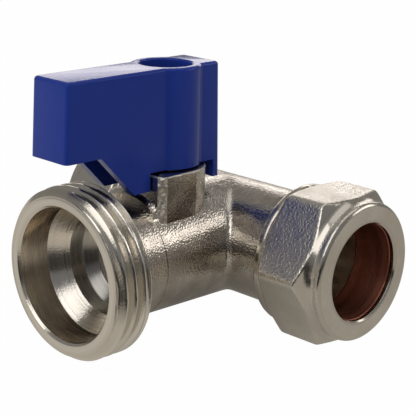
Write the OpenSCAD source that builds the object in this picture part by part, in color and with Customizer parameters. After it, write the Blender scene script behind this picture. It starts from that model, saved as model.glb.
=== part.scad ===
// Tee ball valve: a 15 mm compression run with a 3/4 inch male outlet between,
// closed by a quarter-turn ball. Origin at the centre of the outlet's mouth, +Y
// into the valve, X along the pipe run, +Z up the stem. All sizes in millimetres.

/* [Tee body] */
// Outlet mouth to the axis of the pipe run
mouth_to_run = 35; // [34:0.5:40]
// Outlet mouth to the axis of the stem and ball
mouth_to_stem = 20.5; // [20.3:0.1:20.7]
// Outside diameter of the forged run
run_body_d = 18.4; // [18:0.1:19]
// Outside diameter of the forged branch where it leaves the neck
branch_body_d = 18.3; // [18.1:0.1:18.7]
// How much wider the branch gets by the time it meets the run
branch_draft = 0.6; // [0:0.1:1]
// Diameter of the water passage along the run
run_way_d = 12; // [10:0.5:13]
// Run axis to the stop that a pipe end meets
pipe_stop_x = 12; // [11:0.5:13]

/* [Outlet] */
// Diameter over the crests of the outlet thread
outlet_thread_d = 26.44; // [26.2:0.02:26.6]
// Outlet mouth to the end of the full thread
outlet_thread_len = 5.8; // [5.5:0.1:6.2]
// Depth of the thread
outlet_thread_depth = 1.16; // [0.9:0.01:1.2]
// Diameter of the rim's front edge, where the lead chamfer starts
outlet_rim_d = 24.2; // [23.8:0.1:25]
// Length of the lead chamfer
outlet_lead = 1.1; // [0.8:0.1:1.4]
// Diameter of the counterbore in the mouth
counterbore_d = 20.48; // [20:0.02:21]
// Depth of the counterbore
counterbore_depth = 5.44; // [5:0.02:5.6]
// Bevel on the rim's inner edge
mouth_bevel = 0.35; // [0.2:0.05:0.5]
// Outlet mouth to the inner end of the turned cone
cone_end = 8.2; // [8:0.1:8.4]
// Diameter of the turned neck behind the thread
neck_d = 18.1; // [17.9:0.1:18.2]
// Outlet mouth to the end of the neck's back cone
neck_start = 9.4; // [9:0.1:9.8]
// Outlet mouth to the step where the forging starts
neck_end = 13; // [12.8:0.1:13.2]

/* [Ball and seats] */
// Diameter of the ball
ball_d = 15; // [14.8:0.05:15.1]
// Diameter of the port through the ball
port_d = 10; // [9:0.1:10.2]
// Diameter of the chamber that the ball goes into
chamber_d = 16.1; // [15.9:0.05:16.2]
// Running gap between the ball and its seats
seat_gap = 0.03; // [0.02:0.01:0.06]
// Inner diameter of each seat ring
seat_in_d = 10.6; // [10.4:0.1:11]
// Outer diameter of each seat ring
seat_out_d = 14.4; // [14.2:0.1:14.8]
// Ball centre to the near face of a seat ring
seat_near = 4.2; // [4:0.1:4.4]
// Ball centre to the back face of a seat ring
seat_back = 7.4; // [7.2:0.1:7.6]
// Outlet mouth to the front edge of the seat retainer
retainer_front = 10.6; // [10.4:0.1:10.8]
// Diameter of the hole through the seat retainer
retainer_in_d = 12.6; // [12:0.1:13]
// Fitting gap round the seat retainer and the seats
ring_gap = 0.02; // [0.01:0.01:0.05]

/* [Stem and its turret] */
// Width of the square turret over its flats
turret_w = 12.9; // [12.6:0.1:13]
// Bevel on the two corners of the turret that stop the lever
turret_bevel = 1; // [0.6:0.1:1.2]
// Height of the turret's top over the axes
turret_top = 13.75; // [13.7:0.05:13.8]
// Diameter of the pad forged round the front of the turret
pad_d = 20; // [19.6:0.1:20.2]
// Length of the bevel on the pad's front edge
pad_bevel = 0.6; // [0.3:0.1:0.8]
// Diameter of the stem's shaft
stem_d = 6; // [5.8:0.1:6.1]
// Running gap round the shaft
stem_gap = 0.05; // [0.02:0.01:0.08]
// Diameter of the shoulder that keeps the stem in
shoulder_d = 8.4; // [8:0.1:8.6]
// Thickness of the shoulder
shoulder_h = 1.3; // [1.1:0.1:1.4]
// Gap between the ball's top and the shoulder
shoulder_gap = 0.15; // [0.1:0.05:0.2]
// Thickness of the thrust washer on the shoulder
thrust_h = 0.5; // [0.4:0.05:0.6]
// Width of the tongue that turns the ball
tongue_w = 3; // [2.8:0.1:3.2]
// Depth of the tongue in the ball
tongue_h = 1.6; // [1.4:0.1:1.7]
// Length of the tongue along its slot
tongue_len = 6.8; // [6:0.1:7.4]
// Gap round the tongue in its slot
tongue_gap = 0.08; // [0.05:0.01:0.1]
// Thickness of each stem o-ring
o_ring_t = 0.78; // [0.7:0.02:0.8]
// Width of the groove for each stem o-ring
o_ring_groove_w = 1; // [0.9:0.05:1.1]
// Turret's top to the middle of the upper o-ring
o_ring_down = 1.15; // [1:0.05:1.2]
// Spacing of the two o-rings
o_ring_pitch = 1.6; // [1.4:0.05:1.7]
// Height of the stem's round shaft over the turret
shaft_rise = 1.3; // [1:0.1:1.5]
// Height of the stem's flatted top over the turret
stem_rise = 6.2; // [5.8:0.1:6.6]
// Width over the two flats on the stem's top
stem_flats = 4.4; // [4.2:0.1:4.6]
// Gap between the flats and the lever's socket
socket_gap = 0.04; // [0.02:0.01:0.06]
// Gap in the lever's socket over the stem's shaft and over its top
socket_end_gap = 0.15; // [0.1:0.05:0.2]

/* [Lever] */
// Stem axis to the grip end of the lever
lever_grip = 22.2; // [21:0.1:24]
// Stem axis to the short end of the lever
lever_tail = 7.75; // [7.5:0.05:8.2]
// Width of the lever
lever_w = 8.2; // [7.8:0.1:8.6]
// Height of the lever's top over the axes
lever_top = 29.5; // [29:0.1:32]
// Thickness of the lever's side walls
lever_wall = 1.5; // [1.2:0.1:1.7]
// Thickness of the lever's top
lever_roof = 1.8; // [1.5:0.1:2.2]
// Depth of the grip from the lever's top
grip_h = 11.6; // [11:0.1:12.5]
// How far the lever's ends lean out towards their lower edges
lever_draft = 0.5; // [0:0.05:0.6]
// Stem axis to the low end of the slope under the grip
slope_low = 9.9; // [9:0.1:10.5]
// Stem axis to the high end of the slope under the grip
slope_high = 16.3; // [15:0.1:17]
// Height of the skirts' lower edge over the axes
skirt_z = 11.3; // [11.2:0.05:11.6]
// Gap between the lever and the turret's top
lever_lift = 0.35; // [0.3:0.05:0.5]
// Gap between the skirts and the turret's flats
skirt_gap = 0.25; // [0.2:0.05:0.4]
// Diameter of the round hub in the lever
hub_d = 11.2; // [10.8:0.1:11.6]
// Diameter of the screw well in the lever's top
well_d = 8.2; // [7.6:0.1:8.4]
// Thickness of the well's floor under the screw
well_floor = 1.8; // [1.5:0.1:2.2]
// Rounding of the lever's outer edges
lever_round = 0.7; // [0.4:0.1:0.9]

/* [Lever screw] */
// Diameter of the screw's shank
screw_d = 3; // [2.9:0.1:3.1]
// Diameter of the screw's head
screw_head_d = 5.6; // [5.2:0.1:6]
// Height of the screw's head
screw_head_h = 2; // [1.8:0.1:2.4]
// Height of the straight edge round the screw's head
screw_edge_h = 0.8; // [0.6:0.1:1]
// Diameter of the flat on top of the screw's head
screw_top_d = 4; // [3.8:0.1:4.4]
// Length of the cross recess in the screw's head
recess_len = 3.4; // [3:0.1:3.6]
// Width of the cross recess
recess_w = 0.9; // [0.8:0.1:1]
// Depth of the cross recess
recess_depth = 1.1; // [0.9:0.1:1.2]
// Length of the screw under its head
screw_len = 8; // [7:0.5:9]
// Depth of the tapped hole under the screw's tip
tap_spare = 0.5; // [0.3:0.1:0.8]
// Gap round the screw in the lever
screw_gap = 0.2; // [0.1:0.05:0.3]
// Outer diameter of the screw's washer
washer_d = 7; // [6.4:0.1:7.2]
// Thickness of the screw's washer
washer_h = 0.6; // [0.5:0.1:0.8]

/* [Compression nuts] */
// Run axis to the outer face of each nut
nut_face_x = 28.9; // [28.6:0.1:30]
// Length of each nut
nut_len = 12.9; // [12.7:0.1:13.2]
// Width of each nut across its flats
nut_af = 22.4; // [22:0.1:23]
// Rounding of the hexagon's corners
nut_corner_r = 1.3; // [0.8:0.1:1.6]
// Length of the turned collar on the inner end
collar_len = 1.45; // [1.2:0.05:1.8]
// Diameter of the turned collar
collar_d = 22.3; // [21.6:0.1:22.6]
// Bevel on the collar's inner edge
collar_bevel = 0.4; // [0.2:0.1:0.6]
// Length of the chamfers at both ends of the hexagon
hex_chamfer = 1.1; // [0.8:0.1:1.3]
// Length of the turned nose in front of the hexagon
nose_len = 2.5; // [2.2:0.1:2.8]
// Diameter of the nose where it leaves the hexagon
nose_root_d = 22.2; // [22:0.1:22.4]
// Diameter of the nose at its front
nose_d = 21.7; // [21:0.1:22]
// Bevel on the nose's front edge
nose_bevel = 0.5; // [0.3:0.1:0.7]
// Bevel round the pipe's hole in the nut
hole_bevel = 0.3; // [0.2:0.05:0.3]
// Lead chamfer of the nut's thread
nut_lead = 0.5; // [0.3:0.1:0.7]
// Thread diameter of the nuts and the body's ends
nut_thread_d = 19.8; // [19.6:0.1:20]
// Pitch of that thread
nut_pitch = 1.5; // [1.25:0.25:1.5]
// Running gap in that thread
nut_gap = 0.06; // [0.03:0.01:0.08]
// Hexagon's turn about the run axis at rest, in degrees
nut_turn = 0; // [-5:1:5]

/* [Pipe sockets and olives] */
// Outside diameter of the pipe
pipe_d = 15; // [14.9:0.05:15.1]
// Gap round the pipe
pipe_gap = 0.1; // [0.05:0.01:0.15]
// Run axis to the end of the body's thread
body_end_x = 22.4; // [22.2:0.1:22.8]
// Run axis to the start of the body's thread
thread_start_x = 16.3; // [16.1:0.1:16.6]
// Nut face to the front edge of the olive
olive_setback = 1; // [0.9:0.1:1.2]
// Length of the olive
olive_len = 6.5; // [6.3:0.1:6.6]
// Greatest diameter of the olive
olive_d = 17.6; // [17.2:0.1:17.8]
// Length of the slope at each end of the olive
olive_slope = 0.9; // [0.8:0.1:1.1]
// Gap between the olive and the cones on either side
olive_gap = 0.12; // [0.1:0.02:0.2]

/* [Hidden] */
$fn = 96;
cord_facets = 32;
eps = 0.01;
lap = 1;
far = 60;
chamber_r = chamber_d / 2;
socket_r = pipe_d / 2 + pipe_gap;
branch_end_d = branch_body_d + branch_draft;
draft_end_y = mouth_to_run - run_body_d / 4;
pad_fillet = mouth_to_stem - turret_w / 2 - neck_end;
retainer_back = mouth_to_stem - seat_back;
chamber_end = mouth_to_stem + seat_near;
shoulder_z = ball_d / 2 + shoulder_gap;
thrust_z = shoulder_z + shoulder_h;
stem_bore_z = thrust_z + thrust_h;
tongue_z = ball_d / 2 - tongue_h;
o_ring_zs = [turret_top - o_ring_down - o_ring_pitch, turret_top - o_ring_down];
o_ring_root_r = stem_d / 2 + stem_gap - ring_gap - o_ring_t;
stem_top = turret_top + stem_rise;
lever_low = turret_top + lever_lift;
shaft_top = turret_top + shaft_rise;
socket_low = shaft_top + socket_end_gap;
well_z = stem_top + socket_end_gap + well_floor;
nut_back_x = nut_face_x - nut_len;
hex_back_x = nut_back_x + collar_len;
hex_front_x = nut_face_x - nose_len;
olive_front_x = nut_face_x - olive_setback;
olive_back_x = olive_front_x - olive_len;
olive_end_r = olive_d / 2 - olive_slope;
nut_corner_d = 2 * (nut_af / 2 - nut_corner_r) / cos(30) + 2 * nut_corner_r;

// A solid of revolution about Z, from [radius, height] points
module turned(points) {
    rotate_extrude() polygon(points);
}

// Children drawn along +Z are laid along +Y from the outlet's mouth
module along_branch() {
    rotate([-90, 0, 0]) children();
}

// Children drawn along +Z are laid along the run, side is 1 or -1
module along_run(side = 1) {
    translate([0, mouth_to_run, 0]) rotate([0, side * 90, 0]) children();
}

// Children drawn round the stem axis are moved to it
module at_stem() {
    translate([0, mouth_to_stem, 0]) children();
}

// Square with round corners, exact arcs
module round_rect(x0, x1, y0, y1, r) {
    translate([x0 + r, y0]) square([x1 - x0 - 2 * r, y1 - y0]);
    translate([x0, y0 + r]) square([x1 - x0, y1 - y0 - 2 * r]);
    for (x = [x0 + r, x1 - r], y = [y0 + r, y1 - r]) translate([x, y]) circle(r);
}

// Outer form of the branch: thread, back cone, neck and forged barrel
module branch_outside() {
    thread_r = outlet_thread_d / 2;
    root_r = thread_r - outlet_thread_depth;
    neck_r = neck_d / 2;
    along_branch() turned([
        [0, 0], [outlet_rim_d / 2, 0], [thread_r, outlet_lead],
        [thread_r, outlet_thread_len],
        [root_r, outlet_thread_len + outlet_thread_depth / 2],
        [neck_r, neck_start], [neck_r, neck_end], [branch_body_d / 2, neck_end],
        [branch_end_d / 2, draft_end_y], [branch_end_d / 2, mouth_to_run],
        [0, mouth_to_run]]);
}

// Outer form of the run: barrel and the two threaded ends
module run_outside() {
    thread_r = nut_thread_d / 2;
    edge = nut_pitch / 3;
    for (side = [-1, 1]) along_run(side) turned([
        [0, 0], [run_body_d / 2, 0], [run_body_d / 2, thread_start_x - edge],
        [thread_r, thread_start_x], [thread_r, body_end_x - edge],
        [thread_r - edge, body_end_x], [0, body_end_x]]);
}

// Square turret: two bevelled corners stop the lever's skirts, which sweep past the round ones
module turret() {
    half = turret_w / 2;
    at_stem() linear_extrude(turret_top) {
        circle(half);
        for (turn = [0, 180]) rotate(turn) polygon([[0, 0], [0, -half],
            [half - turret_bevel, -half], [half, turret_bevel - half], [half, 0]]);
    }
}

// Round pad forged in front of the turret, turned with a fillet up to its flat
module pad() {
    fillet_r = pad_d / 2 + pad_fillet;
    intersection() {
        along_branch() rotate_extrude() difference() {
            polygon([[0, neck_end - pad_bevel], [neck_d / 2, neck_end - pad_bevel],
                [pad_d / 2, neck_end], [fillet_r, neck_end], [fillet_r, mouth_to_stem],
                [0, mouth_to_stem]]);
            translate([fillet_r, neck_end]) circle(pad_fillet);
        }
        translate([-turret_w / 2, 0, 0]) cube([turret_w, mouth_to_run, pad_d]);
    }
}

// Everything turned out of the branch: mouth, cone, chamber and inlet port
module branch_bores() {
    mouth_r = counterbore_d / 2;
    along_branch() turned([
        [0, -lap], [mouth_r + mouth_bevel + lap, -lap], [mouth_r + mouth_bevel, 0],
        [mouth_r, mouth_bevel], [mouth_r, counterbore_depth],
        [chamber_r, cone_end], [chamber_r, chamber_end],
        [seat_out_d / 2 + ring_gap, chamber_end],
        [seat_out_d / 2 + ring_gap, mouth_to_stem + seat_back],
        [port_d / 2, mouth_to_stem + seat_back], [port_d / 2, mouth_to_run],
        [0, mouth_to_run]]);
}

// Everything turned out of the run: water passage, pipe sockets, olive cones
module run_bores() {
    cone_r = olive_end_r + olive_gap;
    for (side = [-1, 1]) along_run(side) turned([
        [0, -lap], [run_way_d / 2, -lap], [run_way_d / 2, pipe_stop_x],
        [socket_r, pipe_stop_x], [socket_r, olive_back_x - olive_gap],
        [cone_r, olive_back_x - olive_gap],
        [cone_r + body_end_x - olive_back_x + olive_gap + lap, body_end_x + lap],
        [0, body_end_x + lap]]);
}

// Stepped bore of the turret: shoulder pocket below, shaft bore above
module stem_bores() {
    at_stem() {
        cylinder(r = shoulder_d / 2 + stem_gap, h = stem_bore_z);
        cylinder(r = stem_d / 2 + stem_gap, h = far);
    }
}

module body() {
    color("#b9b2a6") difference() {
        union() {
            branch_outside();
            run_outside();
            turret();
            pad();
        }
        branch_bores();
        run_bores();
        stem_bores();
    }
}

// Screwed ring behind the outlet's cone, which holds the outlet seat
module seat_retainer() {
    outer_r = chamber_r - ring_gap;
    inner_r = retainer_in_d / 2;
    color("#c9c4ba") along_branch() turned([
        [outer_r, retainer_front], [outer_r, retainer_back],
        [inner_r, retainer_back], [inner_r, retainer_front + outer_r - inner_r]]);
}

// Soft ring with a hollow that the ball turns in, side is -1 at the outlet
module seat(side) {
    color("#f2f1ec") at_stem() difference() {
        rotate([-90 * side, 0, 0]) difference() {
            translate([0, 0, seat_near]) cylinder(d = seat_out_d, h = seat_back - seat_near);
            cylinder(d = seat_in_d, h = far);
        }
        sphere(r = ball_d / 2 + seat_gap);
    }
}

module outlet_seat() seat(-1);

module inlet_seat() seat(1);

module ball() {
    slot_w = tongue_w + 2 * tongue_gap;
    slot_z = tongue_z - tongue_gap;
    color("#d9dde0") at_stem() difference() {
        sphere(d = ball_d);
        rotate([90, 0, 0]) cylinder(d = port_d, h = far, center = true);
        translate([-ball_d, -slot_w / 2, slot_z]) cube([2 * ball_d, slot_w, ball_d]);
    }
}

// Stem from the tongue up: tongue, shoulder, grooved shaft, flatted top
module stem() {
    tap_r = screw_d / 2 + ring_gap;
    tap_z = well_z + washer_h - screw_len - tap_spare;
    color("#c2a35c") at_stem() difference() {
        union() {
            intersection() {
                translate([-shoulder_d, -tongue_w / 2, tongue_z])
                    cube([2 * shoulder_d, tongue_w, shoulder_z]);
                cylinder(d = tongue_len, h = thrust_z);
            }
            translate([0, 0, shoulder_z]) cylinder(d = shoulder_d, h = shoulder_h);
            translate([0, 0, shoulder_z]) cylinder(d = stem_d, h = shaft_top - shoulder_z);
            intersection() {
                cylinder(d = stem_d, h = stem_top);
                translate([-stem_d, -stem_flats / 2, thrust_z])
                    cube([2 * stem_d, stem_flats, stem_top]);
            }
        }
        for (z = o_ring_zs) translate([0, 0, z - o_ring_groove_w / 2]) difference() {
            cylinder(d = stem_d + lap, h = o_ring_groove_w);
            translate([0, 0, -lap]) cylinder(r = o_ring_root_r, h = o_ring_groove_w + 2 * lap);
        }
        translate([0, 0, tap_z]) cylinder(r = tap_r, h = far);
    }
}

module thrust_washer() {
    color("#efeee8") at_stem() translate([0, 0, thrust_z]) difference() {
        cylinder(d = shoulder_d, h = thrust_h - ring_gap);
        translate([0, 0, -lap]) cylinder(r = stem_d / 2 + ring_gap, h = thrust_h + 2 * lap);
    }
}

module o_ring(z) {
    color("#1c1c1c") at_stem() translate([0, 0, z]) rotate_extrude()
        translate([o_ring_root_r + o_ring_t / 2, 0]) circle(d = o_ring_t, $fn = cord_facets);
}

module lower_o_ring() o_ring(o_ring_zs[0]);

module upper_o_ring() o_ring(o_ring_zs[1]);

// Side view of the lever, drawn with X along the grip and Y up
module lever_side() {
    grip_z = lever_top - grip_h;
    polygon([
        [-lever_tail, lever_top], [lever_grip, lever_top],
        [lever_grip + lever_draft, grip_z], [slope_high, grip_z],
        [slope_low, skirt_z], [-lever_tail - lever_draft, skirt_z]]);
}

// The lever's outer block, with rounded upright and top edges
module lever_block() {
    end = lever_grip + lever_draft;
    tail = lever_tail + lever_draft;
    intersection() {
        linear_extrude(lever_top)
            round_rect(-lever_w / 2, lever_w / 2, -end, tail, lever_round);
        rotate([90, 0, -90]) translate([0, 0, -far / 2]) linear_extrude(far) lever_side();
        rotate([90, 0, 0]) translate([0, 0, -far / 2]) linear_extrude(far)
            round_rect(-lever_w / 2, lever_w / 2, -lever_top, lever_top, lever_round);
    }
}

// Plain column with its top edge rounded
module lever_hub() {
    translate([0, 0, lever_low]) {
        cylinder(d = hub_d, h = lever_top - lever_low - lever_round);
        rotate_extrude() {
            square([hub_d / 2 - lever_round, lever_top - lever_low]);
            translate([hub_d / 2 - lever_round, lever_top - lever_low - lever_round])
                circle(lever_round);
        }
    }
}

module lever() {
    inner_w = lever_w - 2 * lever_wall;
    skirt_y = turret_w / 2 + skirt_gap;
    color("#1e2f7d") at_stem() difference() {
        union() {
            difference() {
                lever_block();
                difference() {
                    translate([-inner_w / 2, -lever_grip + lever_wall, 0])
                        cube([inner_w, lever_grip, lever_top - lever_roof]);
                    cylinder(d = hub_d - 2 * eps, h = far);
                    translate([-lever_w, 0, 0]) cube([2 * lever_w, far, far]);
                }
                translate([-lever_w, -skirt_y, 0]) cube([2 * lever_w, 2 * skirt_y, lever_low]);
            }
            lever_hub();
        }
        translate([0, 0, well_z]) cylinder(d = well_d, h = far);
        cylinder(r = screw_d / 2 + screw_gap, h = far);
        cylinder(r = stem_d / 2 + ring_gap, h = socket_low);
        intersection() {
            cylinder(r = stem_d / 2 + ring_gap, h = stem_top + socket_end_gap);
            translate([-stem_d, -stem_flats / 2 - socket_gap, 0])
                cube([2 * stem_d, stem_flats + 2 * socket_gap, far]);
        }
    }
}

module screw_washer() {
    color("#c8cacc") at_stem() translate([0, 0, well_z]) difference() {
        cylinder(d = washer_d, h = washer_h);
        translate([0, 0, -lap]) cylinder(r = screw_d / 2 + ring_gap, h = washer_h + 2 * lap);
    }
}

// Pan-head screw with a cross recess
module lever_screw() {
    color("#c8cacc") at_stem() translate([0, 0, well_z + washer_h]) difference() {
        union() {
            turned([[0, 0], [screw_head_d / 2, 0], [screw_head_d / 2, screw_edge_h],
                [screw_top_d / 2, screw_head_h], [0, screw_head_h]]);
            translate([0, 0, -screw_len]) cylinder(d = screw_d, h = screw_len + eps);
        }
        for (turn = [0, 90]) rotate([0, 0, turn])
            translate([-recess_len / 2, -recess_w / 2, screw_head_h - recess_depth])
                cube([recess_len, recess_w, screw_head_h]);
    }
}

// Hexagon with rounded corners, one corner on +X
module round_hexagon() {
    flat_len = 2 * (nut_af / 2 - nut_corner_r) * tan(30);
    corner_at = (nut_af / 2 - nut_corner_r) / cos(30);
    for (turn = [0, 60, 120]) rotate(turn + 30)
        square([nut_af, flat_len], center = true);
    for (turn = [0 : 60 : 300]) rotate(turn) translate([corner_at, 0]) circle(nut_corner_r);
}

// Compression nut along +Z, its outer face at nut_face_x
module nut() {
    thread_r = nut_thread_d / 2 + nut_gap;
    top_r = nut_corner_d / 2;
    cone_x = olive_front_x - olive_slope;
    cone_r = olive_d / 2 + olive_gap;
    difference() {
        intersection() {
            turned([
                [0, nut_back_x], [collar_d / 2 - collar_bevel, nut_back_x],
                [collar_d / 2, nut_back_x + collar_bevel], [collar_d / 2, hex_back_x],
                [top_r, hex_back_x + hex_chamfer], [top_r, hex_front_x - hex_chamfer],
                [nose_root_d / 2, hex_front_x], [nose_d / 2, nut_face_x - nose_bevel],
                [nose_d / 2 - nose_bevel, nut_face_x], [0, nut_face_x]]);
            union() {
                cylinder(d = collar_d, h = hex_back_x);
                translate([0, 0, hex_back_x - eps]) linear_extrude(far)
                    rotate(90) round_hexagon();
            }
        }
        turned([
            [0, 0], [thread_r + nut_lead, 0], [thread_r + nut_lead, nut_back_x],
            [thread_r, nut_back_x + nut_lead], [thread_r, cone_x - thread_r + cone_r],
            [cone_r, cone_x], [socket_r, cone_x + cone_r - socket_r],
            [socket_r, nut_face_x - hole_bevel], [socket_r + hole_bevel, nut_face_x],
            [socket_r + hole_bevel, nut_face_x + lap], [0, nut_face_x + lap]]);
    }
}

// Copper ring, sloped at both ends, pressed on the pipe by the nut
module olive() {
    turned([
        [socket_r, olive_back_x], [olive_end_r, olive_back_x],
        [olive_d / 2, olive_back_x + olive_slope],
        [olive_d / 2, olive_front_x - olive_slope],
        [olive_end_r, olive_front_x], [socket_r, olive_front_x]]);
}

module right_nut() color("#b9b2a6") along_run(1) rotate(nut_turn) nut();

module right_olive() color("#8a4a33") along_run(1) olive();

module left_nut() color("#b9b2a6") along_run(-1) rotate(nut_turn) nut();

module left_olive() color("#8a4a33") along_run(-1) olive();

body();
seat_retainer();
outlet_seat();
inlet_seat();
ball();
stem();
thrust_washer();
lower_o_ring();
upper_o_ring();
lever();
lever_screw();
screw_washer();
right_nut();
right_olive();
left_nut();
left_olive();
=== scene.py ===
"""Looks, light and camera for a tee ball valve with compression ends and a blue lever.

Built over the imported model, in metres. Meshes are shaped in millimetres and scaled down when finished.
"""

import logging
import math
from collections.abc import Callable, Sequence
from dataclasses import dataclass
from enum import Enum
from functools import cache
from typing import Any

import bmesh
import bpy
from mathutils import Matrix, Vector


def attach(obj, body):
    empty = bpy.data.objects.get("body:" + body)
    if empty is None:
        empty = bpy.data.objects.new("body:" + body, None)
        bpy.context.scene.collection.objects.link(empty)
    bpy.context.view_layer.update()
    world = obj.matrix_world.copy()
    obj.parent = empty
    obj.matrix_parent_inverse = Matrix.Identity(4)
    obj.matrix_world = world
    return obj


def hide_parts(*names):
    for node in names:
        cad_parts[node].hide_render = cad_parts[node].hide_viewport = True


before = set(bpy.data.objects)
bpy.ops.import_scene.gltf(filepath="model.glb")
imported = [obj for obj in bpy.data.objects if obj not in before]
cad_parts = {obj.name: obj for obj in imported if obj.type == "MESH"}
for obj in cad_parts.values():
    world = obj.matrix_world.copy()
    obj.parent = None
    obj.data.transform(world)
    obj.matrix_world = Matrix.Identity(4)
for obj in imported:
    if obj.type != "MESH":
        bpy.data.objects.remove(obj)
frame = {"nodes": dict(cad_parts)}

Point = tuple[float, float]
Colour = tuple[float, float, float]
Rule = Callable[[Vector, Vector], bool]
Socket = bpy.types.NodeSocket
Material = bpy.types.Material
Piece = bpy.types.Object
Layers = tuple[Socket, Socket, Socket]

LOG = logging.getLogger("tee_valve")
MILLIMETRE = 0.001
MOUTH_TO_RUN = 35.0
MOUTH_TO_STEM = 20.5
ROUND_STEPS = 128
TO_CAMERA = (0.69, -0.72, 0.0)
TO_RIGHT = (0.72, 0.69, 0.0)
TO_LEFT_FRONT = (-0.69, -0.72, 0.0)


class Cut(Enum):
    """How one solid is worked into another."""

    JOIN = "UNION"
    REMOVE = "DIFFERENCE"
    KEEP = "INTERSECT"


class Lay(Enum):
    """Where a shape drawn round the Z axis is laid in the valve."""

    BRANCH = Matrix.Rotation(math.radians(-90), 4, "X")
    RUN_RIGHT = Matrix.Translation((0, MOUTH_TO_RUN, 0)) @ Matrix.Rotation(math.radians(90), 4, "Y")
    RUN_LEFT = Matrix.Translation((0, MOUTH_TO_RUN, 0)) @ Matrix.Rotation(math.radians(-90), 4, "Y")
    STEM = Matrix.Translation((0, MOUTH_TO_STEM, 0))


RUN_ENDS = {"right": Lay.RUN_RIGHT, "left": Lay.RUN_LEFT}


def arc(centre: Point, radius: float, start: float, end: float, steps: int) -> list[Point]:
    """Gives points along an arc.

    Args:
        centre: Middle of the arc.
        radius: Its radius.
        start: Angle of the first point, in degrees.
        end: Angle of the last point, in degrees.
        steps: Number of stretches between the points.

    Returns:
        The points, first and last included.
    """
    angles = [math.radians(start + (end - start) * i / steps) for i in range(steps + 1)]
    return [(centre[0] + radius * math.cos(a), centre[1] + radius * math.sin(a)) for a in angles]


def rows(start: float, end: float, step: float) -> list[float]:
    """Gives evenly spaced heights from start to end, both included."""
    count = max(1, round((end - start) / step))
    return [start + (end - start) * i / count for i in range(count + 1)]


def soften(points: Sequence[Point], radii: dict[int, float], steps: int = 4) -> list[Point]:
    """Rounds chosen corners of an outline.

    Args:
        points: Corners of the outline.
        radii: Rounding of each chosen corner, by its index.
        steps: Stretches that each rounding is made of.

    Returns:
        The outline with its corners rounded.
    """
    out: list[Point] = []
    for i, here in enumerate(points):
        if i not in radii:
            out.append(here)
            continue
        corner = Vector(here)
        back = (Vector(points[i - 1]) - corner).normalized()
        ahead = (Vector(points[(i + 1) % len(points)]) - corner).normalized()
        reach = radii[i] / math.tan(back.angle(ahead) / 2)
        first, last = corner + back * reach, corner + ahead * reach
        for step in range(steps + 1):
            t = step / steps
            spot = first * (1 - t) ** 2 + corner * 2 * t * (1 - t) + last * t * t
            out.append((spot.x, spot.y))
    return out


def round_edges(mesh: bmesh.types.BMesh, edges: Sequence[bmesh.types.BMEdge], size: float, segments: int) -> None:
    """Rounds chosen edges of a mesh."""
    bmesh.ops.bevel(mesh, geom=edges, offset=size, affect="EDGES", segments=segments, profile=0.5, material=-1)


def place_mesh(name: str, mesh: bmesh.types.BMesh) -> Piece:
    """Puts a mesh into the scene.

    Args:
        name: Name of the object and of its data.
        mesh: The mesh, which is freed here.

    Returns:
        The object.
    """
    data = bpy.data.meshes.new(name)
    mesh.to_mesh(data)
    mesh.free()
    thing = bpy.data.objects.new(name, data)
    bpy.context.scene.collection.objects.link(thing)
    return thing


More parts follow.
